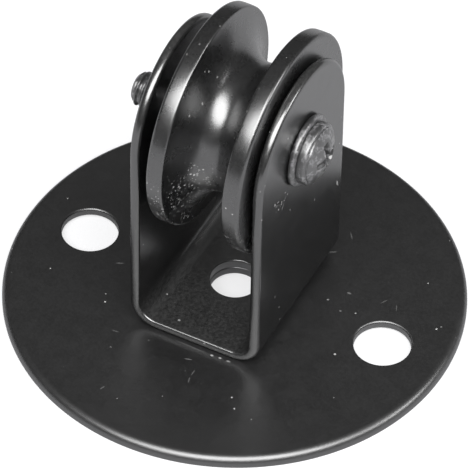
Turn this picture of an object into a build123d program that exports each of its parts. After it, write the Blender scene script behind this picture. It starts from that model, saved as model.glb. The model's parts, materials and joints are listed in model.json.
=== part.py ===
"""Chandelier pulley: a grooved wheel on a screw axle, in a folded bracket on a round pressed base.

The origin is the centre of the base's mounting face. +Z points away from that face, and the
axle lies along Y with the screw's head at -Y. All sizes are in millimetres.
"""
import os

from build123d import *

# Base: a pressed sheet disc with its edge turned down
BASE_DIAMETER = 65.0
BASE_SHEET = 1.2
BASE_DEPTH = 1.6
FIXING_HOLE_DIAMETER = 8.0
FIXING_HOLE_EDGE_MARGIN = 5.5
FIXING_HOLE_CHAMFER = 0.35

# Wheel: turned, with a deep round groove
WHEEL_DIAMETER = 31.75
RIM_WIDTH = 2.5
GROOVE_MOUTH = 9.0
GROOVE_DEPTH = 6.5
RIM_CHAMFER = 0.4

# Axle: a pan head screw over a washer
SCREW_DIAMETER = 5.0
SCREW_TAIL = 5.5
SCREW_TIP_CHAMFER = 0.7
HEAD_DIAMETER = 9.0
HEAD_EDGE_HEIGHT = 1.2
HEAD_DOME_HEIGHT = 1.6
RECESS_WIDTH = 1.1
RECESS_SPAN = 4.8
RECESS_DEPTH = 1.9
RECESS_POINT_DIAMETER = 1.4
WASHER_DIAMETER = 10.5
WASHER_THICKNESS = 1.0

# Bracket: one strip folded into a U, with round ears
STRIP_WIDTH = 25.4
STRIP_THICKNESS = 1.5
BEND_INSIDE_RADIUS = 2.5
STRIP_EDGE_CHAMFER = 0.2
CENTRE_HOLE_DIAMETER = 7.0

# Fits and clearances
RUNNING_CLEARANCE = 0.05
EAR_HOLE_CLEARANCE = 0.1
TAPPED_EAR_CLEARANCE = 0.02
WASHER_CLEARANCE = 0.15
HEAD_SIDE_PLAY = 0.4
TAIL_SIDE_PLAY = 2.6
ROPE_PASSAGE_HEIGHT = 14.5

# Worked out from the sizes above
BASE_RADIUS = BASE_DIAMETER / 2
FIXING_HOLE_OFFSET = BASE_RADIUS - FIXING_HOLE_EDGE_MARGIN - FIXING_HOLE_DIAMETER / 2
WHEEL_RADIUS = WHEEL_DIAMETER / 2
WHEEL_WIDTH = GROOVE_MOUTH + 2 * RIM_WIDTH
SCREW_RADIUS = SCREW_DIAMETER / 2
BRACKET_INSIDE = HEAD_SIDE_PLAY + WHEEL_WIDTH + TAIL_SIDE_PLAY
BRACKET_OUTSIDE = BRACKET_INSIDE + 2 * STRIP_THICKNESS
FLOOR_TOP = BASE_DEPTH + STRIP_THICKNESS
AXLE_HEIGHT = FLOOR_TOP + ROPE_PASSAGE_HEIGHT + WHEEL_RADIUS
WHEEL_CENTRE_Y = -BRACKET_INSIDE / 2 + HEAD_SIDE_PLAY + WHEEL_WIDTH / 2
WASHER_SEAT_Y = -BRACKET_OUTSIDE / 2
HEAD_SEAT_Y = WASHER_SEAT_Y - WASHER_THICKNESS
SCREW_TIP_Y = BRACKET_OUTSIDE / 2 + SCREW_TAIL
HEAD_HEIGHT = HEAD_EDGE_HEIGHT + HEAD_DOME_HEIGHT


def axle_plane(y):
    """A plane square to the axle, centred on it, whose normal points to the screw's tip."""
    return Plane(origin=(0, y, AXLE_HEIGHT), x_dir=(-1, 0, 0), z_dir=(0, 1, 0))


def axle_rod(radius, y_from, y_to):
    """A round rod on the axle's line."""
    return extrude(axle_plane(y_from) * Circle(radius), y_to - y_from)


def make_base():
    """The pressed disc: a flat top, an edge turned down to the mounting face, two fixing holes."""
    inner_radius = BASE_RADIUS - BASE_SHEET
    underside = BASE_DEPTH - BASE_SHEET
    outline = Polyline(
        (inner_radius, BASE_DEPTH), (0, BASE_DEPTH), (0, underside), (inner_radius, underside),
        (inner_radius, 0), (BASE_RADIUS, 0), (BASE_RADIUS, underside))
    turned_edge = RadiusArc((inner_radius, BASE_DEPTH), (BASE_RADIUS, underside), BASE_SHEET)
    section = Plane.XZ * make_face([*outline.edges(), turned_edge.edge()])
    disc = revolve(section, Axis.Z)
    for hole_y in (-FIXING_HOLE_OFFSET, FIXING_HOLE_OFFSET):
        disc -= Pos(0, hole_y, 0) * Cylinder(
            FIXING_HOLE_DIAMETER / 2, BASE_DEPTH, align=(Align.CENTER, Align.CENTER, Align.MIN))
    rims = disc.edges().filter_by(GeomType.CIRCLE).filter_by(
        lambda edge: edge.radius < BASE_RADIUS / 2).group_by(Axis.Z)[-1]
    disc = chamfer(rims, FIXING_HOLE_CHAMFER)
    return disc - centre_hole()


def centre_hole():
    """The hole through the bracket's floor and the base under it."""
    return Cylinder(CENTRE_HOLE_DIAMETER / 2, FLOOR_TOP, align=(Align.CENTER, Align.CENTER, Align.MIN))


def rounded_trough(width, floor_z, corner_radius):
    """A tall section in the YZ plane whose two lower corners are rounded."""
    height = AXLE_HEIGHT + STRIP_WIDTH - floor_z
    block = Pos(0, floor_z) * Rectangle(width, height, align=(Align.CENTER, Align.MIN))
    return fillet(block.vertices().group_by(Axis.Y)[0], corner_radius)


def make_bracket():
    """The strip: its U section, cut to the round ears, with both axle holes and the centre hole."""
    outside = rounded_trough(BRACKET_OUTSIDE, BASE_DEPTH, BEND_INSIDE_RADIUS + STRIP_THICKNESS)
    inside = rounded_trough(BRACKET_INSIDE, FLOOR_TOP, BEND_INSIDE_RADIUS)
    strip = extrude(Plane.YZ * (outside - inside), STRIP_WIDTH / 2, both=True)

    leg = Pos(0, AXLE_HEIGHT / 2) * Rectangle(STRIP_WIDTH, AXLE_HEIGHT)
    ear = Pos(0, AXLE_HEIGHT) * Circle(STRIP_WIDTH / 2)
    strip &= extrude(Plane.XZ * (leg + ear), BRACKET_OUTSIDE, both=True)

    across_strip = strip.edges().filter_by(GeomType.LINE).filter_by(Axis.X)
    outlines = [edge for edge in strip.edges() if edge not in across_strip]
    strip = chamfer(outlines, STRIP_EDGE_CHAMFER)

    strip -= axle_rod(SCREW_RADIUS + EAR_HOLE_CLEARANCE, -BRACKET_OUTSIDE / 2, 0)
    strip -= axle_rod(SCREW_RADIUS + TAPPED_EAR_CLEARANCE, 0, BRACKET_OUTSIDE / 2)
    return strip - centre_hole()


def make_wheel():
    """The wheel: a section turned about the axle, with a groove that is half an ellipse."""
    half_width = WHEEL_WIDTH / 2
    half_mouth = GROOVE_MOUTH / 2
    bore = SCREW_RADIUS + RUNNING_CLEARANCE
    groove = EllipticalCenterArc((0, WHEEL_RADIUS), half_mouth, GROOVE_DEPTH, 180, arc_size=180)
    sides = Polyline(
        (half_mouth, WHEEL_RADIUS), (half_width, WHEEL_RADIUS), (half_width, bore),
        (-half_width, bore), (-half_width, WHEEL_RADIUS), (-half_mouth, WHEEL_RADIUS))
    section = make_face([groove.edge(), *sides.edges()])
    outer_corners = section.vertices().filter_by(lambda corner: abs(corner.X) > half_mouth)
    section = chamfer(outer_corners.group_by(Axis.Y)[-1], RIM_CHAMFER)
    wheel = revolve(section, Axis.X)
    return Pos(0, WHEEL_CENTRE_Y, AXLE_HEIGHT) * Rot(0, 0, 90) * wheel


def cross_recess():
    """The cross-shaped driver recess, narrowing to its point inside the head."""
    arms = Rectangle(RECESS_SPAN, RECESS_WIDTH) + Rectangle(RECESS_WIDTH, RECESS_SPAN)
    mouth = axle_plane(HEAD_SEAT_Y - HEAD_HEIGHT)
    taper = Cone(RECESS_SPAN / 2, RECESS_POINT_DIAMETER / 2, RECESS_DEPTH,
                 align=(Align.CENTER, Align.CENTER, Align.MIN))
    return extrude(mouth * arms, RECESS_DEPTH) & (mouth * taper)


def make_screw():
    """The screw: a domed head with a cross recess, and a shank that carries the wheel."""
    radius = HEAD_DIAMETER / 2
    apex = (0, HEAD_HEIGHT)
    dome_radius = (radius**2 + HEAD_DOME_HEIGHT**2) / (2 * HEAD_DOME_HEIGHT)
    sides = Polyline(apex, (0, 0), (radius, 0), (radius, HEAD_EDGE_HEIGHT))
    dome = RadiusArc((radius, HEAD_EDGE_HEIGHT), apex, -dome_radius)
    section = make_face([*sides.edges(), dome.edge()])
    head = Pos(0, HEAD_SEAT_Y, AXLE_HEIGHT) * Rot(0, 0, 180) * revolve(section, Axis.Y)
    shank = axle_rod(SCREW_RADIUS, HEAD_SEAT_Y, SCREW_TIP_Y)
    shank = chamfer(shank.edges().filter_by(GeomType.CIRCLE).sort_by(Axis.Y)[-1], SCREW_TIP_CHAMFER)
    return head + shank - cross_recess()


def make_washer():
    """The plain washer between the screw's head and the bracket's ear."""
    washer = axle_rod(WASHER_DIAMETER / 2, HEAD_SEAT_Y, WASHER_SEAT_Y)
    return washer - axle_rod(SCREW_RADIUS + WASHER_CLEARANCE, HEAD_SEAT_Y, WASHER_SEAT_Y)


SUBPARTS = {
    "base_plate": make_base,
    "bracket": make_bracket,
    "wheel": make_wheel,
    "axle_screw": make_screw,
    "head_washer": make_washer,
}

os.makedirs("parts", exist_ok=True)
for name, make in SUBPARTS.items():
    export_step(make(), f"parts/{name}.step")
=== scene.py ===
"""Dresses the chandelier pulley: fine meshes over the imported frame, paint, floor, light, camera.

Lengths are in metres in the part's own frame: Z runs up from the mounting face and the axle lies
along Y, with the screw's head at -Y.
"""
import json
import math
from typing import NamedTuple

import bmesh
import bpy
from mathutils import Matrix, Vector


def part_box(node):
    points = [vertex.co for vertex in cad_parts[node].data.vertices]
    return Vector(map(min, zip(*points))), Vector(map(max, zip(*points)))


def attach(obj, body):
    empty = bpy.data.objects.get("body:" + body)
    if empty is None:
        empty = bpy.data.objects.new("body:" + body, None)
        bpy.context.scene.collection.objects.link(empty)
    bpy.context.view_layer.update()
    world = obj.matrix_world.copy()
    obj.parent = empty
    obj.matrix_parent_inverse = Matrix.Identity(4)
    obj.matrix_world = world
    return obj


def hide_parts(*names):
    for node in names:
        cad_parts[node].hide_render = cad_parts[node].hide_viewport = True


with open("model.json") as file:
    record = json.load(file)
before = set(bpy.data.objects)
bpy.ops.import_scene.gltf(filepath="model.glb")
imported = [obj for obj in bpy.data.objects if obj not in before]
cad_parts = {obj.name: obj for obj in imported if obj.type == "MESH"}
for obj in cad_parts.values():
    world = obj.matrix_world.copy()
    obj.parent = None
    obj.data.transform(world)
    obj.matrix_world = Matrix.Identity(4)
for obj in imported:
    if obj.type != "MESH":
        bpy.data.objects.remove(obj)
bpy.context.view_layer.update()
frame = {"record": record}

MM = 0.001
FULL_TURN = 2 * math.pi

# The frame's own sizes
BASE_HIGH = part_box("base_plate")[1]
STRIP_LOW, STRIP_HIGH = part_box("bracket")
WHEEL_LOW, WHEEL_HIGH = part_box("wheel")
SCREW_LOW, SCREW_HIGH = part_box("axle_screw")
WASHER_LOW, WASHER_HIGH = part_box("head_washer")
MOUNTS = {mount["name"]: mount for mount in frame["record"]["mounts"]}
FIXING_HOLE_RADIUS = MOUNTS["mounting_holes"]["dims"]["hole_r_mm"] * MM
FIXING_HOLE_OFFSET = MOUNTS["mounting_holes"]["dims"]["spacing_y_mm"] * MM / 2
CENTRE_HOLE_RADIUS = MOUNTS["centre_hole"]["dims"]["r_mm"] * MM

BASE_RADIUS = BASE_HIGH[0]
BASE_TOP = BASE_HIGH[2]
STRIP_HALF_WIDTH = STRIP_HIGH[0]
STRIP_HALF_OUTSIDE = STRIP_HIGH[1]
AXLE_Z = STRIP_HIGH[2] - STRIP_HALF_WIDTH
WHEEL_RADIUS = WHEEL_HIGH[0]
WHEEL_HALF_WIDTH = (WHEEL_HIGH[1] - WHEEL_LOW[1]) / 2
WHEEL_CENTRE = Vector((0, (WHEEL_HIGH[1] + WHEEL_LOW[1]) / 2, AXLE_Z))
HEAD_RADIUS = SCREW_HIGH[0]
HEAD_SEAT_Y = WASHER_LOW[1]
HEAD_HEIGHT = HEAD_SEAT_Y - SCREW_LOW[1]
SCREW_TIP_Y = SCREW_HIGH[1]

# Sheet metal
BASE_SHEET = 1.2 * MM
BASE_CUT_EDGE_ROUNDING = 0.15 * MM
FIXING_HOLE_ROLLOVER = 0.35 * MM
STRIP_THICKNESS = 1.5 * MM
STRIP_EDGE_ROUNDING = 0.65 * MM
STRIP_FLOOR_ROUNDING = 0.35 * MM
STRIP_UNDER_ROUNDING = 0.8 * MM
STRIP_HOLE_ROUNDING = 0.2 * MM
BEND_INSIDE_RADIUS = 2.5 * MM
EAR_HOLE_RADIUS = 2.6 * MM

# The flat strip: distances along it from its middle
HALF_FLOOR = STRIP_HALF_OUTSIDE - STRIP_THICKNESS - BEND_INSIDE_RADIUS
BEND_LENGTH = (BEND_INSIDE_RADIUS + STRIP_THICKNESS / 2) * math.pi / 2
BEND_END = HALF_FLOOR + BEND_LENGTH
BEND_CENTRE_Z = BASE_TOP + STRIP_THICKNESS + BEND_INSIDE_RADIUS
EAR_AT = BEND_END + AXLE_Z - BEND_CENTRE_Z
FLOOR_ROUNDING_END = BEND_END + 0.5 * MM
EAR_ROUNDING_START = BEND_END + 8.0 * MM
ROUNDING_CHANGES = (EAR_ROUNDING_START, FLOOR_ROUNDING_END,
                    -FLOOR_ROUNDING_END, -EAR_ROUNDING_START)

# Wheel
GROOVE_MOUTH = 9 * MM
GROOVE_DEPTH = 6.5 * MM
RIM_ROUNDING = 0.6 * MM
RIM_CROWN = 0.08 * MM
RIM_CROWN_RADIUS = 12 * MM
LIP_ROUNDING = 0.3 * MM
BORE_RADIUS = 2.55 * MM

# Screw and washer
SHANK_RADIUS = 2.5 * MM
THREAD_PITCH = 0.8 * MM
THREAD_DEPTH = 0.4 * MM
THREAD_LENGTH = 8.0 * MM
THREAD_CREST_SHARE = 0.15625
THREAD_FLANK_SHARE = 0.3125
TIP_CHAMFER = 0.7 * MM
HEAD_EDGE_HEIGHT = 1.2 * MM
HEAD_EDGE_ROUNDING = 0.45 * MM
HEAD_CORNER_LIFT = 0.1 * MM
RECESS_HALF_SPAN = 2.4 * MM
RECESS_HALF_WIDTH = 0.55 * MM
RECESS_DEPTH = 1.9 * MM
RECESS_RISE_SHARE = 0.62
RECESS_EDGE_SOFTNESS = 0.16 * MM
WASHER_ROUNDING = 0.45 * MM
WASHER_BACK_ROUNDING = 0.5 * MM
WASHER_HOLE_RADIUS = 2.65 * MM

# Mesh fineness
ROUND_STEPS = 256
WASHER_STEPS = 128
HOLE_STEPS = 96
EDGE_STEPS = 5
TURNED_EDGE_STEPS = 12
BEND_STEPS = 14
GROOVE_STEPS = 56
DOME_RINGS = 70
FIRST_RING_SHARE = 0.02
THREAD_RINGS_PER_PITCH = 14
SHARP_ANGLE = math.radians(35)
MERGE_DISTANCE = 0.0005 * MM
SHORTEST_EDGE = 0.0002 * MM
CUT_TOLERANCE = 0.0001 * MM


def turned(centre, axis):
    """The matrix that carries a shape turned about Z to a point and an axis."""
    return Matrix.Translation(centre) @ Vector(axis).to_track_quat("Z", "Y").to_matrix().to_4x4()


def rounded(corners, steps=EDGE_STEPS):
    """A closed outline through (x, y, radius) corners, each rounded to its own radius."""
    outline = []
    count = len(corners)
    for index, (x, y, radius) in enumerate(corners):
        corner = Vector((x, y))
        if radius == 0:
            outline.append(corner)
            continue
        before = (Vector(corners[index - 1][:2]) - corner).normalized()
        after = (Vector(corners[(index + 1) % count][:2]) - corner).normalized()
        half = before.angle(after) / 2
        centre = corner + (before + after).normalized() * (radius / math.sin(half))
        first = corner + before * (radius / math.tan(half)) - centre
        last = corner + after * (radius / math.tan(half)) - centre
        outline += arc(centre, first, last, steps)
    return outline


def arc(centre, first, last, steps):
    """Points round a centre, from one spoke to another by the short way."""
    start = math.atan2(first.y, first.x)
    sweep = (math.atan2(last.y, last.x) - start + math.pi) % FULL_TURN - math.pi
    points = []
    for step in range(steps + 1):
        angle = start + sweep * step / steps
        points.append(centre + first.length * Vector((math.cos(angle), math.sin(angle))))
    return points


def mesh_object(name, bm):
    """A smooth-shaded object from a bmesh, with the true angle kept on sharp edges."""
    bmesh.ops.remove_doubles(bm, verts=bm.verts, dist=MERGE_DISTANCE)
    bmesh.ops.dissolve_degenerate(bm, edges=bm.edges, dist=SHORTEST_EDGE)
    bmesh.ops.recalc_face_normals(bm, faces=bm.faces)
    for face in bm.faces:
        face.smooth = True
    for edge in bm.edges:
        edge.smooth = edge.calc_face_angle(0) < SHARP_ANGLE
    mesh = bpy.data.meshes.new(name)
    bm.to_mesh(mesh)
    bm.free()
    piece = bpy.data.objects.new(name, mesh)
    bpy.context.scene.collection.objects.link(piece)
    normals = piece.modifiers.new("even_normals", "WEIGHTED_NORMAL")
    normals.keep_sharp = True
    return piece


def join_rings(bm, rings, closed=False):
    """Quads between each ring of vertices and the next."""
    pairs = list(zip(rings, rings[1:]))
    if closed:
        pairs.append((rings[-1], rings[0]))
    for ring, following in pairs:
        for index in range(len(ring)):
            after = (index + 1) % len(ring)
            bm.faces.new((ring[index], ring[after], following[after], following[index]))


def lathe(name, profile, place, steps=ROUND_STEPS):
    """A closed (radius, height) profile turned about Z, then put in its place."""
    bm = bmesh.new()
    rings = []
    for radius, height in profile:
        ring = []
        for step in range(steps):
            angle = FULL_TURN * step / steps
            point = Vector((radius * math.cos(angle), radius * math.sin(angle), height))
            ring.append(bm.verts.new(place @ point))
        rings.append(ring)
    join_rings(bm, rings, closed=True)
    return mesh_object(name, bm)


def edge_steps(top, bottom, top_rounding, bottom_rounding):
    """(outward offset, height) down a cut edge with both corners rounded, from face to face."""
    angles = [math.pi / 2 * step / EDGE_STEPS for step in range(EDGE_STEPS + 1)]
    upper = [(top_rounding * (math.sin(angle) - 1), top + top_rounding * (math.cos(angle) - 1))
             for angle in angles]
    lower = [(bottom_rounding * (math.cos(angle) - 1),
              bottom + bottom_rounding * (1 - math.sin(angle))) for angle in angles]
    return upper + lower


def circle(centre_y, radius, height, steps=HOLE_STEPS):
    """Points round a circle at a height over the sheet's plane."""
    points = []
    for step in range(steps):
        angle = FULL_TURN * step / steps
        points.append(Vector((radius * math.cos(angle), centre_y + radius * math.sin(angle),
                              height)))
    return points


def strip_outline(half_width, height):
    """The flat strip's outline at a height: round ends, and points where its rounding changes."""
    points = []
    for end in (1, -1):
        for step in range(HOLE_STEPS + 1):
            angle = math.pi * step / HOLE_STEPS
            points.append(Vector((end * half_width * math.cos(angle),
                                  end * (EAR_AT + half_width * math.sin(angle)), height)))
        for along in ROUNDING_CHANGES:
            points.append(Vector((-end * half_width, end * along, height)))
    return points


def sheet_mesh(walls):
    """A bmesh of a flat sheet. Each wall is a stack of rings of points, from top to bottom."""
    bm = bmesh.new()
    faces_to_fill = ([], [])
    for wall in walls:
        rings = [[bm.verts.new(point) for point in ring] for ring in wall]
        join_rings(bm, rings)
        for edges, ring in zip(faces_to_fill, (rings[0], rings[-1])):
            for index, vertex in enumerate(ring):
                edges.append(bm.edges.get((vertex, ring[(index + 1) % len(ring)])))
    for edges in faces_to_fill:
        bmesh.ops.triangle_fill(bm, edges=edges, use_beauty=True)
    return bm


def make_base():
    """The pressed disc with its edge turned down, and its three holes."""
    inner_radius = BASE_RADIUS - BASE_SHEET
    underside = BASE_TOP - BASE_SHEET
    edge = rounded([
        (0, BASE_TOP, 0), (BASE_RADIUS, BASE_TOP, BASE_SHEET),
        (BASE_RADIUS, 0, BASE_CUT_EDGE_ROUNDING), (inner_radius, 0, BASE_CUT_EDGE_ROUNDING),
        (inner_radius, underside, BASE_CUT_EDGE_ROUNDING), (0, underside, 0)],
        steps=TURNED_EDGE_STEPS)[1:-1]
    walls = [[circle(0, radius, height, ROUND_STEPS) for radius, height in edge]]
    fixing_edge = edge_steps(BASE_TOP, underside, FIXING_HOLE_ROLLOVER, BASE_CUT_EDGE_ROUNDING)
    centre_edge = edge_steps(BASE_TOP, underside, BASE_CUT_EDGE_ROUNDING, BASE_CUT_EDGE_ROUNDING)
    for centre_y, radius, steps in ((-FIXING_HOLE_OFFSET, FIXING_HOLE_RADIUS, fixing_edge),
                                    (0, CENTRE_HOLE_RADIUS, centre_edge),
                                    (FIXING_HOLE_OFFSET, FIXING_HOLE_RADIUS, fixing_edge)):
        walls.append([circle(centre_y, radius - offset, height) for offset, height in steps])
    return mesh_object("pressed_plate", sheet_mesh(walls))


def folded(point):
    """Where a point of the flat strip comes to in the bracket. The strip lies on its outer face."""
    side = math.copysign(1, point.y)
    along = abs(point.y)
    bend_radius = BEND_INSIDE_RADIUS + STRIP_THICKNESS - point.z
    if along < HALF_FLOOR:
        return Vector((point.x, point.y, BASE_TOP + point.z))
    if along < BEND_END:
        angle = (along - HALF_FLOOR) / BEND_LENGTH * math.pi / 2
        return Vector((point.x, side * (HALF_FLOOR + bend_radius * math.sin(angle)),
                       BEND_CENTRE_Z - bend_radius * math.cos(angle)))
    return Vector((point.x, side * (HALF_FLOOR + bend_radius), BEND_CENTRE_Z + along - BEND_END))


def make_bracket():
    """The strip cut flat with its holes and rounded edges, then folded into a U."""
    ear_edge = edge_steps(STRIP_THICKNESS, 0, STRIP_EDGE_ROUNDING, STRIP_EDGE_ROUNDING)
    floor_edge = edge_steps(STRIP_THICKNESS, 0, STRIP_FLOOR_ROUNDING, STRIP_UNDER_ROUNDING)
    hole_edge = edge_steps(STRIP_THICKNESS, 0, STRIP_HOLE_ROUNDING, STRIP_HOLE_ROUNDING)
    outer_wall = []
    for (ear_offset, ear_height), (floor_offset, floor_height) in zip(ear_edge, floor_edge):
        ear_ring = strip_outline(STRIP_HALF_WIDTH + ear_offset, ear_height)
        floor_ring = strip_outline(STRIP_HALF_WIDTH + floor_offset, floor_height)
        outer_wall.append([ear_point if abs(ear_point.y) > FLOOR_ROUNDING_END else floor_point
                           for ear_point, floor_point in zip(ear_ring, floor_ring)])
    walls = [outer_wall]
    for centre_y, radius in ((-EAR_AT, EAR_HOLE_RADIUS), (0, CENTRE_HOLE_RADIUS),
                             (EAR_AT, EAR_HOLE_RADIUS)):
        walls.append([circle(centre_y, radius - offset, height) for offset, height in hole_edge])
    bm = sheet_mesh(walls)
    for side in (1, -1):
        for step in range(BEND_STEPS + 1):
            cut_y = side * (HALF_FLOOR + BEND_LENGTH * step / BEND_STEPS)
            bmesh.ops.bisect_plane(bm, geom=[*bm.verts, *bm.edges, *bm.faces], dist=CUT_TOLERANCE,
                                   plane_co=(0, cut_y, 0), plane_no=(0, 1, 0))
    for vertex in bm.verts:
        vertex.co = folded(vertex.co)
    return mesh_object("folded_bracket", bm)


def make_wheel():
    """The turned wheel: two slightly crowned rims, a half-elliptical groove and a plain bore."""
    half_mouth = GROOVE_MOUTH / 2
    groove = []
    for step in range(1, GROOVE_STEPS):
        angle = math.pi * step / GROOVE_STEPS
        groove.append(Vector((WHEEL_RADIUS - GROOVE_DEPTH * math.sin(angle),
                              half_mouth * math.cos(angle))))
    rim_middle = (half_mouth + WHEEL_HALF_WIDTH) / 2
    rim_edge = WHEEL_RADIUS - RIM_CROWN
    rims = rounded([
        (groove[-1].x, groove[-1].y, 0), (rim_edge, -half_mouth, LIP_ROUNDING),
        (WHEEL_RADIUS, -rim_middle, RIM_CROWN_RADIUS),
        (rim_edge, -WHEEL_HALF_WIDTH, RIM_ROUNDING), (BORE_RADIUS, -WHEEL_HALF_WIDTH, RIM_ROUNDING),
        (BORE_RADIUS, WHEEL_HALF_WIDTH, RIM_ROUNDING), (rim_edge, WHEEL_HALF_WIDTH, RIM_ROUNDING),
        (WHEEL_RADIUS, rim_middle, RIM_CROWN_RADIUS),
        (rim_edge, half_mouth, LIP_ROUNDING), (groove[0].x, groove[0].y, 0)])
    return lathe("grooved_wheel", groove + rims[1:-1], turned(WHEEL_CENTRE, (0, 1, 0)))


def make_washer():
    """The plain washer under the screw's head."""
    height = WASHER_HIGH[1] - WASHER_LOW[1]
    outer = WASHER_HIGH[0]
    place = turned((0, WASHER_LOW[1], AXLE_Z), (0, 1, 0))
    profile = rounded([
        (WASHER_HOLE_RADIUS, 0, 0), (outer, 0, WASHER_ROUNDING),
        (outer, height, WASHER_BACK_ROUNDING), (WASHER_HOLE_RADIUS, height, 0)])
    return lathe("plain_washer", profile, place, WASHER_STEPS)


def smooth_step(value):
    """0 below 0, 1 above 1, and an even rise between."""
    value = min(max(value, 0), 1)
    return value * value * (3 - 2 * value)


def recess_depth(x, y):
    """How far the cross recess reaches below the head's dome at a point."""
    long_way = max(abs(x), abs(y))
    short_way = min(abs(x), abs(y))
    inside = min(RECESS_HALF_SPAN - long_way, RECESS_HALF_WIDTH - short_way)
    share = smooth_step(0.5 + inside / (2 * RECESS_EDGE_SOFTNESS))
    floor_depth = RECESS_DEPTH * (1 - RECESS_RISE_SHARE * long_way / RECESS_HALF_SPAN)
    return share * floor_depth


def thread_radius(turn, from_tip):
    """The screw's radius in the threaded end, at a share of a turn and a distance from the tip."""
    phase = (from_tip / THREAD_PITCH + turn) % 1
    flank = smooth_step((abs(phase - 0.5) - THREAD_CREST_SHARE / 2) / THREAD_FLANK_SHARE)
    run_out = smooth_step((THREAD_LENGTH - from_tip) / THREAD_PITCH)
    ridged = SHANK_RADIUS - THREAD_DEPTH * flank * run_out
    return min(ridged, SHANK_RADIUS - TIP_CHAMFER + from_tip)


def make_screw():
    """The screw: head with its cross recess, plain shank and a cut thread at the far end."""
    place = turned((0, HEAD_SEAT_Y, AXLE_Z), (0, -1, 0))
    length = SCREW_TIP_Y - HEAD_SEAT_Y
    dome_height = HEAD_HEIGHT - HEAD_EDGE_HEIGHT
    dome_radius = (HEAD_RADIUS**2 + dome_height**2) / (2 * dome_height)
    dome_centre = HEAD_HEIGHT - dome_radius
    bm = bmesh.new()
    angles = [FULL_TURN * step / ROUND_STEPS for step in range(ROUND_STEPS)]

    def ring(radius_at, height_at):
        points = []
        for angle in angles:
            radius = radius_at(angle)
            x = radius * math.cos(angle)
            y = radius * math.sin(angle)
            points.append(bm.verts.new(place @ Vector((x, y, height_at(x, y)))))
        return points

    def dome(x, y):
        return dome_centre + math.sqrt(dome_radius**2 - x * x - y * y) - recess_depth(x, y)

    rings = []
    dome_reach = HEAD_RADIUS - HEAD_EDGE_ROUNDING
    for step in range(DOME_RINGS):
        radius = dome_reach * (step + FIRST_RING_SHARE) / (DOME_RINGS - 1 + FIRST_RING_SHARE)
        rings.append(ring(lambda angle: radius, dome))
    start = dome(dome_reach, 0)
    edge = rounded([
        (0, start, 0), (HEAD_RADIUS, HEAD_EDGE_HEIGHT + HEAD_CORNER_LIFT, HEAD_EDGE_ROUNDING),
        (HEAD_RADIUS, 0, HEAD_EDGE_ROUNDING / 2), (SHANK_RADIUS, 0, 0)])[1:]
    for radius, height in edge:
        rings.append(ring(lambda angle: radius, lambda x, y: height))
    thread_start = length - THREAD_LENGTH
    rings.append(ring(lambda angle: SHANK_RADIUS, lambda x, y: -thread_start))
    thread_rings = round(THREAD_LENGTH / THREAD_PITCH * THREAD_RINGS_PER_PITCH)
    for step in range(1, thread_rings + 1):
        from_tip = THREAD_LENGTH * (1 - step / thread_rings)
        rings.append(ring(lambda angle: thread_radius(angle / FULL_TURN, from_tip),
                          lambda x, y: from_tip - length))
    join_rings(bm, rings)
    bm.faces.new(rings[0])
    bm.faces.new(rings[-1])
    return mesh_object("axle_screw_cut", bm)


# The Mix node's sockets for colours, whose names repeat
MIX_SHARE = 0
MIX_FIRST_COLOUR = 6
MIX_SECOND_COLOUR = 7
MIXED_COLOUR = 2


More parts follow.
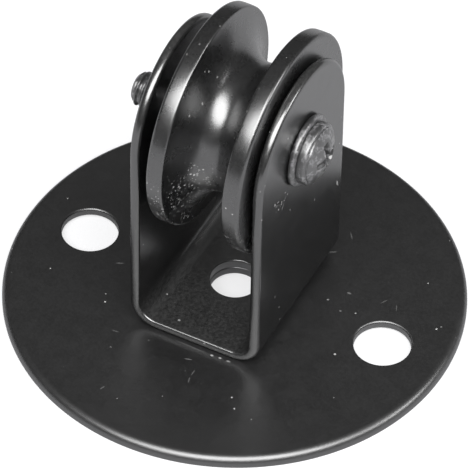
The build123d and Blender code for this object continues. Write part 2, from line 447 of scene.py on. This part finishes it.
class Paint:
    """A node material under construction: short names for the nodes that the paints share."""

    def __init__(self, name):
        self.material = bpy.data.materials.new(name)
        self.material.use_nodes = True
        self.nodes = self.material.node_tree.nodes
        self.links = self.material.node_tree.links
        self.surface = self.nodes["Principled BSDF"]
        self.place = self.nodes.new("ShaderNodeTexCoord").outputs["Object"]

    def put(self, value, socket):
        """Sets a socket to a number or links it to another socket."""
        if isinstance(value, bpy.types.NodeSocket):
            self.links.new(value, socket)
        else:
            socket.default_value = value

    def noise(self, size, detail=2.0):
        """Noise whose blotches are about size metres wide."""
        node = self.nodes.new("ShaderNodeTexNoise")
        self.links.new(self.place, node.inputs["Vector"])
        node.inputs["Scale"].default_value = 1 / size
        node.inputs["Detail"].default_value = detail
        return node.outputs["Fac"]

    def math(self, operation, first, second):
        """One Math node."""
        node = self.nodes.new("ShaderNodeMath")
        node.operation = operation
        self.put(first, node.inputs[0])
        self.put(second, node.inputs[1])
        return node.outputs[0]

    def ramp(self, value, low, high, low_result=0.0, high_result=1.0):
        """A smooth, clamped change from one result to another."""
        node = self.nodes.new("ShaderNodeMapRange")
        node.interpolation_type = "SMOOTHSTEP"
        self.put(value, node.inputs["Value"])
        node.inputs["From Min"].default_value = low
        node.inputs["From Max"].default_value = high
        node.inputs["To Min"].default_value = low_result
        node.inputs["To Max"].default_value = high_result
        return node.outputs["Result"]

    def blend(self, share, first, second):
        """A mix of two colours."""
        node = self.nodes.new("ShaderNodeMix")
        node.data_type = "RGBA"
        self.put(share, node.inputs[MIX_SHARE])
        self.put(first, node.inputs[MIX_FIRST_COLOUR])
        self.put(second, node.inputs[MIX_SECOND_COLOUR])
        return node.outputs[MIXED_COLOUR]

    def specks(self, spacing, size, share):
        """Small round specks, one in some cells of a grid of random points."""
        cells = self.nodes.new("ShaderNodeTexVoronoi")
        self.links.new(self.place, cells.inputs["Vector"])
        cells.inputs["Scale"].default_value = 1 / spacing
        random = self.nodes.new("ShaderNodeSeparateColor")
        self.links.new(cells.outputs["Color"], random.inputs["Color"])
        reach = self.math("MULTIPLY", random.outputs["Green"], size / spacing)
        near = self.math("SUBTRACT", reach, cells.outputs["Distance"])
        dot = self.ramp(near, 0.0, SPECK_EDGE_SHARE * size / spacing)
        unchosen = self.math("SUBTRACT", 1.0, share)
        chosen = self.math("GREATER_THAN", random.outputs["Red"], unchosen)
        strength = self.ramp(random.outputs["Blue"], 0.0, FAINT_SPECK_REACH, FAINTEST_SPECK, 1.0)
        return self.math("MULTIPLY", self.math("MULTIPLY", dot, chosen), strength)

    def mark(self, first, last, width, strength):
        """A thread of lint, or a larger speck, from one point to another."""
        along = last - first
        shape = self.nodes.new("ShaderNodeMapping")
        shape.vector_type = "TEXTURE"
        self.links.new(self.place, shape.inputs["Vector"])
        shape.inputs["Location"].default_value = (first + last) / 2
        turn = Vector((1, 0, 0)).rotation_difference(along)
        shape.inputs["Rotation"].default_value = turn.to_euler()
        shape.inputs["Scale"].default_value = ((along.length + width) / 2, width / 2, width / 2)
        distance = self.nodes.new("ShaderNodeVectorMath")
        distance.operation = "LENGTH"
        self.links.new(shape.outputs["Vector"], distance.inputs[0])
        return self.ramp(distance.outputs["Value"], MARK_SOLID_SHARE, 1.0, strength, 0.0)

    def around(self, centre, reach):
        """1 near a point and 0 from reach metres away."""
        node = self.nodes.new("ShaderNodeVectorMath")
        node.operation = "DISTANCE"
        self.links.new(self.place, node.inputs[0])
        node.inputs[1].default_value = centre
        return self.ramp(node.outputs["Value"], 0.0, reach, 1.0, 0.0)

    def upward(self):
        """The upward part of the surface's own normal, 0 where it looks sideways or down."""
        place = self.nodes.new("ShaderNodeTexCoord")
        normal = self.nodes.new("ShaderNodeSeparateXYZ")
        self.links.new(place.outputs["Normal"], normal.inputs["Vector"])
        return self.math("MAXIMUM", normal.outputs["Z"], 0.0)

    def bump(self, layers):
        """Stacks (height, depth in metres) bumps and gives them to the surface."""
        normal = None
        for height, depth in layers:
            node = self.nodes.new("ShaderNodeBump")
            node.inputs["Distance"].default_value = depth
            self.links.new(height, node.inputs["Height"])
            if normal:
                self.links.new(normal, node.inputs["Normal"])
            normal = node.outputs["Normal"]
        self.links.new(normal, self.surface.inputs["Normal"])


class Finish(NamedTuple):
    """What sets one piece's black paint apart from the others.

    The film is the strength of the dust on upward faces and the peel the height of the paint's
    bumps, as a share of the usual one. Patchy paint is worn through in places.
    """
    colour: float
    roughness: float
    speck_share: float
    film: float = 0.0
    peel: float = 1.0
    patchy: bool = False
    dusty_spots: tuple = ()
    marks: tuple = ()


# Paint. A range is the stretch of the noise over which one look turns into the other.
PAINT_IOR = 2.4
ROUGH_DETAIL = 3.0
GRAIN_SIZE = 0.35 * MM
GRAIN_RANGE = (0.35, 0.65)
GRAIN_VARIATION = 0.7
PATCH_SIZE = 0.9 * MM
PATCH_RANGE = (0.45, 0.55)
GLOSS_PATCH_SIZE = 2.4 * MM
GLOSS_RANGE = (0.25, 0.75)
GLOSS_VARIATION = 0.02
PEEL_SIZE = 0.9 * MM
PEEL_DEPTH = 0.005 * MM
TOOTH_SIZE = 0.2 * MM
TOOTH_DEPTH = 0.0012 * MM

# Dust
DUST_COLOUR = (0.8, 0.8, 0.79, 1)
FILM_MOTTLE_SIZE = 0.5 * MM
FILM_RANGE = (0.3, 0.7)
FILM_VARIATION = 0.4
MARK_SOLID_SHARE = 0.5
SPECK_EDGE_SHARE = 0.25
FAINTEST_SPECK = 0.06
FAINT_SPECK_REACH = 1.4
SPOT_SHARE = 0.95
FINE_SPACING = 0.33 * MM
FINE_SIZE = 0.18 * MM
COARSE_SPACING = 3.4 * MM
COARSE_SIZE = 0.17 * MM
COARSE_SHARE = 0.06
COARSE_STRENGTH = 0.28


def black_paint(name, finish):
    """Satin black paint, slightly uneven in colour, gloss and height, under dust and lint."""
    paint = Paint(name)
    grain = paint.ramp(paint.noise(GRAIN_SIZE, ROUGH_DETAIL), *GRAIN_RANGE)
    if finish.patchy:
        patches = paint.ramp(paint.noise(PATCH_SIZE, ROUGH_DETAIL), *PATCH_RANGE)
        grain = paint.math("MULTIPLY", grain, patches)
    darkest = (1 - GRAIN_VARIATION) * finish.colour
    palest = (1 + GRAIN_VARIATION) * finish.colour
    painted = paint.blend(grain, grey(darkest), grey(palest))

    share = finish.speck_share
    for centre, reach in finish.dusty_spots:
        nearness = paint.around(centre, reach)
        share = paint.math("ADD", paint.math("MULTIPLY", nearness, SPOT_SHARE), share)
    dust = paint.specks(FINE_SPACING, FINE_SIZE, share)
    coarse = paint.specks(COARSE_SPACING, COARSE_SIZE, COARSE_SHARE)
    dust = paint.math("MAXIMUM", dust, paint.math("MULTIPLY", coarse, COARSE_STRENGTH))
    for first, last, width, strength in finish.marks:
        dust = paint.math("MAXIMUM", dust, paint.mark(first, last, width, strength))
    if finish.film:
        thinnest = (1 - FILM_VARIATION) * finish.film
        thickest = (1 + FILM_VARIATION) * finish.film
        film = paint.ramp(paint.noise(FILM_MOTTLE_SIZE), *FILM_RANGE, thinnest, thickest)
        dust = paint.math("MAXIMUM", dust, paint.math("MULTIPLY", paint.upward(), film))
    coloured = paint.blend(dust, painted, DUST_COLOUR)
    paint.links.new(coloured, paint.surface.inputs["Base Color"])

    paint.surface.inputs["IOR"].default_value = PAINT_IOR
    smoothest = finish.roughness - GLOSS_VARIATION
    roughest = finish.roughness + GLOSS_VARIATION
    gloss = paint.noise(GLOSS_PATCH_SIZE, ROUGH_DETAIL)
    roughness = paint.ramp(gloss, *GLOSS_RANGE, smoothest, roughest)
    paint.links.new(roughness, paint.surface.inputs["Roughness"])
    paint.bump([(paint.noise(PEEL_SIZE), finish.peel * PEEL_DEPTH),
                (paint.noise(TOOTH_SIZE), finish.peel * TOOTH_DEPTH)])
    return paint.material


BLUE_SHARE = 1.03


def grey(level):
    """An opaque grey, very slightly cool."""
    return (level, level, BLUE_SHARE * level, 1)


FLOOR_RADIUS = 4.0
FLOOR_STEPS = 96
FLOOR_DROP = 0.02 * MM
FLOOR_GREYS = (0.39, 0.41)
FLOOR_CLOUD_SIZE = 40 * MM
FLOOR_CLOUD_RANGE = (0.3, 0.7)
FLOOR_ROUGHNESS = 0.9
FLOOR_GLOW_SEEN = 0.62
FLOOR_GLOW_REFLECTED = 0.15


def floor_material():
    """Studio floor: white to the camera, pale in reflections, with the object's soft shadow."""
    paint = Paint("studio_floor")
    clouds = paint.ramp(paint.noise(FLOOR_CLOUD_SIZE), *FLOOR_CLOUD_RANGE)
    darkest, palest = FLOOR_GREYS
    colour = paint.blend(clouds, grey(darkest), grey(palest))
    paint.links.new(colour, paint.surface.inputs["Base Color"])
    paint.surface.inputs["Roughness"].default_value = FLOOR_ROUGHNESS
    paint.surface.inputs["Specular IOR Level"].default_value = 0.0
    rays = paint.nodes.new("ShaderNodeLightPath").outputs
    paint.surface.inputs["Emission Color"].default_value = (1, 1, 1, 1)
    seen = paint.math("MULTIPLY", rays["Is Camera Ray"], FLOOR_GLOW_SEEN)
    mirrored = paint.math("MAXIMUM", rays["Is Glossy Ray"], rays["Is Transmission Ray"])
    reflected = paint.math("MULTIPLY", mirrored, FLOOR_GLOW_REFLECTED)
    glow = paint.math("ADD", seen, reflected)
    paint.links.new(glow, paint.surface.inputs["Emission Strength"])
    return paint.material


def make_floor():
    """A wide round floor under the mounting face."""
    bm = bmesh.new()
    bmesh.ops.create_circle(bm, cap_ends=True, segments=FLOOR_STEPS, radius=FLOOR_RADIUS)
    mesh = bpy.data.meshes.new("floor")
    bm.to_mesh(mesh)
    bm.free()
    floor = bpy.data.objects.new("floor", mesh)
    floor.location.z = -FLOOR_DROP
    bpy.context.scene.collection.objects.link(floor)
    floor.data.materials.append(floor_material())


ROOM_LIGHT = 0.09
HORIZON_LIGHT = 0.05
ROOM_LIGHT_FROM_Z = 0.6


def make_world():
    """A room that is dim at the horizon and paler above."""
    world = bpy.data.worlds.new("studio")
    bpy.context.scene.world = world
    world.use_nodes = True
    nodes = world.node_tree.nodes
    links = world.node_tree.links
    place = nodes.new("ShaderNodeTexCoord")
    parts = nodes.new("ShaderNodeSeparateXYZ")
    links.new(place.outputs["Generated"], parts.inputs["Vector"])
    level = nodes.new("ShaderNodeMapRange")
    level.interpolation_type = "SMOOTHSTEP"
    links.new(parts.outputs["Z"], level.inputs["Value"])
    level.inputs["From Min"].default_value = 0.0
    level.inputs["From Max"].default_value = ROOM_LIGHT_FROM_Z
    level.inputs["To Min"].default_value = HORIZON_LIGHT
    level.inputs["To Max"].default_value = ROOM_LIGHT
    links.new(level.outputs["Result"], nodes["Background"].inputs["Strength"])
    nodes["Background"].inputs["Color"].default_value = (1, 1, 1, 1)


PANEL_DISTANCE = 1.4
# Name, the two ends as (azimuth, elevation) and the width in degrees, radiance
PANELS = (
    ("key", (152, 42), (-101, 40), 42, 6.6),
    ("fill", (-88, 34), (-58, 30), 20, 6.6),
)


def direction(azimuth, elevation):
    """A unit vector at an azimuth from +X and an elevation, both in degrees."""
    turn = math.radians(azimuth)
    rise = math.radians(elevation)
    level = math.cos(rise)
    return Vector((level * math.cos(turn), level * math.sin(turn), math.sin(rise)))


def make_panel(name, first_end, last_end, width, radiance):
    """A soft oval panel that faces the wheel, with its ends and width given as seen from there."""
    first = direction(*first_end)
    last = direction(*last_end)
    middle = (first + last).normalized()
    long_way = (last - first).normalized()
    short_way = middle.cross(long_way)
    light = bpy.data.lights.new(name, "AREA")
    light.shape = "ELLIPSE"
    light.size = 2 * PANEL_DISTANCE * math.tan(first.angle(last) / 2)
    light.size_y = 2 * PANEL_DISTANCE * math.tan(math.radians(width) / 2)
    light.energy = radiance * math.pi * (math.pi / 4 * light.size * light.size_y)
    lamp = bpy.data.objects.new(name, light)
    turn = Matrix((long_way, short_way, middle)).transposed().to_4x4()
    lamp.matrix_world = Matrix.Translation(WHEEL_CENTRE + middle * PANEL_DISTANCE) @ turn
    bpy.context.scene.collection.objects.link(lamp)


# The camera, as solved from the photograph's outlines
VIEW_AZIMUTH = math.radians(-63.32)
VIEW_ELEVATION = math.radians(46.16)
VIEW_ROLL = math.radians(1.14)
VIEW_DISTANCE = 761.4 * MM
VIEW_TARGET = Vector((8.736, 4.528, 1.6)) * MM
FOCAL_PIXELS = 5405.4
IMAGE_PIXELS = 470
SENSOR_WIDTH = 36
CLIP_START = 0.01
CLIP_END = 20


def make_camera():
    """The camera where the photograph was taken from."""
    back = Vector((math.sin(VIEW_AZIMUTH) * math.cos(VIEW_ELEVATION),
                   -math.cos(VIEW_AZIMUTH) * math.cos(VIEW_ELEVATION), math.sin(VIEW_ELEVATION)))
    right = Vector((math.cos(VIEW_AZIMUTH), math.sin(VIEW_AZIMUTH), 0))
    up = back.cross(right)
    rolled_right = right * math.cos(VIEW_ROLL) + up * math.sin(VIEW_ROLL)
    rolled_up = up * math.cos(VIEW_ROLL) - right * math.sin(VIEW_ROLL)
    data = bpy.data.cameras.new("view")
    data.sensor_width = SENSOR_WIDTH
    data.lens = data.sensor_width * FOCAL_PIXELS / IMAGE_PIXELS
    data.clip_start = CLIP_START
    data.clip_end = CLIP_END
    camera = bpy.data.objects.new("view", data)
    turn = Matrix((rolled_right, rolled_up, back)).transposed().to_4x4()
    camera.matrix_world = Matrix.Translation(VIEW_TARGET + back * VIEW_DISTANCE) @ turn
    bpy.context.scene.collection.objects.link(camera)
    bpy.context.scene.camera = camera


# Lint and chips in millimetres: first point, last point, width, strength
PLATE_Z = BASE_TOP / MM
STRIP_Z = PLATE_Z + STRIP_THICKNESS / MM
EAR_Y = STRIP_LOW[1] / MM
PLATE_LINT = (
    ((-13.0, 3.0, PLATE_Z), (-13.2, -3.0, PLATE_Z), 0.25, 0.07),
    ((-13.2, -3.2, PLATE_Z), (-13.2, -3.4, PLATE_Z), 0.4, 0.5),
    ((-13.1, -4.4, PLATE_Z), (-13.1, -4.6, PLATE_Z), 0.35, 0.5),
    ((-13.1, -5.6, PLATE_Z), (-13.1, -6.0, PLATE_Z), 0.35, 0.3),
    ((-4.0, 16.7, PLATE_Z), (-3.5, 15.7, PLATE_Z), 0.3, 0.15),
    ((-15.5, 11.1, PLATE_Z), (-15.4, 10.1, PLATE_Z), 0.25, 0.1),
    ((-18.4, 9.8, PLATE_Z), (-18.4, 9.7, PLATE_Z), 0.3, 0.15),
    ((-14.8, 5.8, PLATE_Z), (-14.8, 5.7, PLATE_Z), 0.3, 0.1),
    ((-15.5, -0.2, PLATE_Z), (-15.2, -1.3, PLATE_Z), 0.25, 0.15),
    ((-16.7, -2.5, PLATE_Z), (-17.9, -2.5, PLATE_Z), 0.25, 0.08),
    ((-18.2, -2.5, PLATE_Z), (-19.3, -2.8, PLATE_Z), 0.25, 0.1),
    ((-26.0, 7.3, PLATE_Z), (-25.2, 7.0, PLATE_Z), 0.25, 0.1),
    ((12.0, -8.6, PLATE_Z), (12.6, -9.6, PLATE_Z), 0.35, 0.12),
    ((16.9, -9.6, PLATE_Z), (15.8, -10.4, PLATE_Z), 0.25, 0.12),
    ((3.8, -12.6, PLATE_Z), (3.8, -12.7, PLATE_Z), 0.35, 0.3),
    ((2.7, -15.1, PLATE_Z), (2.7, -15.2, PLATE_Z), 0.35, 0.2),
    ((6.3, -14.5, PLATE_Z), (6.3, -14.9, PLATE_Z), 0.4, 0.17),
    ((6.6, -19.4, PLATE_Z), (7.7, -20.0, PLATE_Z), 0.2, 0.1),
    ((6.3, -22.0, PLATE_Z), (7.5, -21.5, PLATE_Z), 0.2, 0.1),
)
BRACKET_LINT = (
    ((-10.7, 3.2, STRIP_Z), (-10.7, 3.1, STRIP_Z), 0.45, 0.35),
    ((-12.7, -1.8, 2.8), (-12.7, -1.9, 2.8), 0.35, 0.3),
    ((10.8, EAR_Y, 17.6), (11.2, EAR_Y, 16.5), 0.5, 0.5),
    ((3.9, EAR_Y, 20.3), (3.9, EAR_Y, 20.1), 0.35, 0.2),
    ((-8.6, EAR_Y, 30.6), (-8.2, EAR_Y, 30.0), 0.4, 0.3),
    ((-5.6, EAR_Y, 28.3), (-6.3, EAR_Y, 27.2), 0.3, 0.25),
    ((-3.7, EAR_Y, 25.2), (-3.7, EAR_Y, 25.0), 0.35, 0.25),
    ((-7.6, EAR_Y, 11.6), (-7.6, EAR_Y, 11.4), 0.35, 0.2),
)
WHEEL_LINT = (
    ((1.3, 3.6, 49.3), (1.2, 3.6, 49.3), 0.35, 0.2),
    ((-2.6, 3.4, 49.1), (-2.7, 3.4, 49.1), 0.4, 0.5),
    ((-2.8, 1.8, 44.1), (-2.9, 1.8, 44.0), 0.35, 0.25),
    ((-4.9, 5.4, 48.5), (-5.0, 5.3, 48.4), 0.35, 0.2),
    ((-2.9, 4.5, 49.0), (-3.0, 4.5, 49.0), 0.35, 0.15),
    ((-6.7, 2.0, 42.6), (-6.8, 2.0, 42.2), 0.35, 0.25),
    ((-9.1, 2.7, 41.9), (-9.2, 2.7, 41.8), 0.35, 0.3),
    ((-8.9, -5.7, 46.6), (-9.0, -5.7, 46.5), 0.35, 0.4),
    ((-14.4, 4.6, 27.1), (-14.3, 4.6, 26.5), 0.5, 0.5),
)
HEAD_CHIPS = (
    ((-0.9, -13.7, 34.7), (1.8, -13.6, 32.0), 0.8, 0.9),
)


def in_metres(marks):
    """Marks whose lengths are in millimetres, turned to metres."""
    return tuple((Vector(first) * MM, Vector(last) * MM, width * MM, strength)
                 for first, last, width, strength in marks)


# Dusty spots: centre, reach
WHEEL_DUST = (
    (Vector((-12.5, 3.0, 28.5)) * MM, 9 * MM),
    (Vector((-8.5, 2.0, 25.5)) * MM, 10 * MM),
    (Vector((-13.0, -7.8, 25.0)) * MM, 6 * MM),
)
EAR_DUST = (
    (Vector((-6.9, EAR_Y, 29.2)) * MM, 2.8 * MM),
)

PLATE_FINISH = Finish(colour=0.0035, roughness=0.37, speck_share=0.004, film=0.0025,
                      marks=in_metres(PLATE_LINT))
BRACKET_FINISH = Finish(colour=0.004, roughness=0.24, speck_share=0.003, film=0.032, peel=0.4,
                        dusty_spots=EAR_DUST, marks=in_metres(BRACKET_LINT))
WHEEL_FINISH = Finish(colour=0.006, roughness=0.28, speck_share=0.006, film=0.004,
                      dusty_spots=WHEEL_DUST, marks=in_metres(WHEEL_LINT))
SCREW_FINISH = Finish(colour=0.12, roughness=0.35, speck_share=0.01, peel=6.0, patchy=True,
                      marks=in_metres(HEAD_CHIPS))

# How each piece is made, the node it replaces, the body it rides, its paint slot, its finish
PIECES = (
    (make_base, "base_plate", "frame", "plate_paint", PLATE_FINISH),
    (make_bracket, "bracket", "frame", "bracket_paint", BRACKET_FINISH),
    (make_wheel, "wheel", "wheel", "wheel_paint", WHEEL_FINISH),
    (make_screw, "axle_screw", "frame", "screw_paint", SCREW_FINISH),
    (make_washer, "head_washer", "frame", "screw_paint", SCREW_FINISH),
)

for make, node, body, slot, finish in PIECES:
    piece = make()
    piece.data.materials.append(black_paint(f"{node}_paint", finish))
    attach(piece, body)
    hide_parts(node)

make_floor()
make_world()
for panel in PANELS:
    make_panel(*panel)
make_camera()
bpy.context.scene.view_settings.view_transform = "Standard"
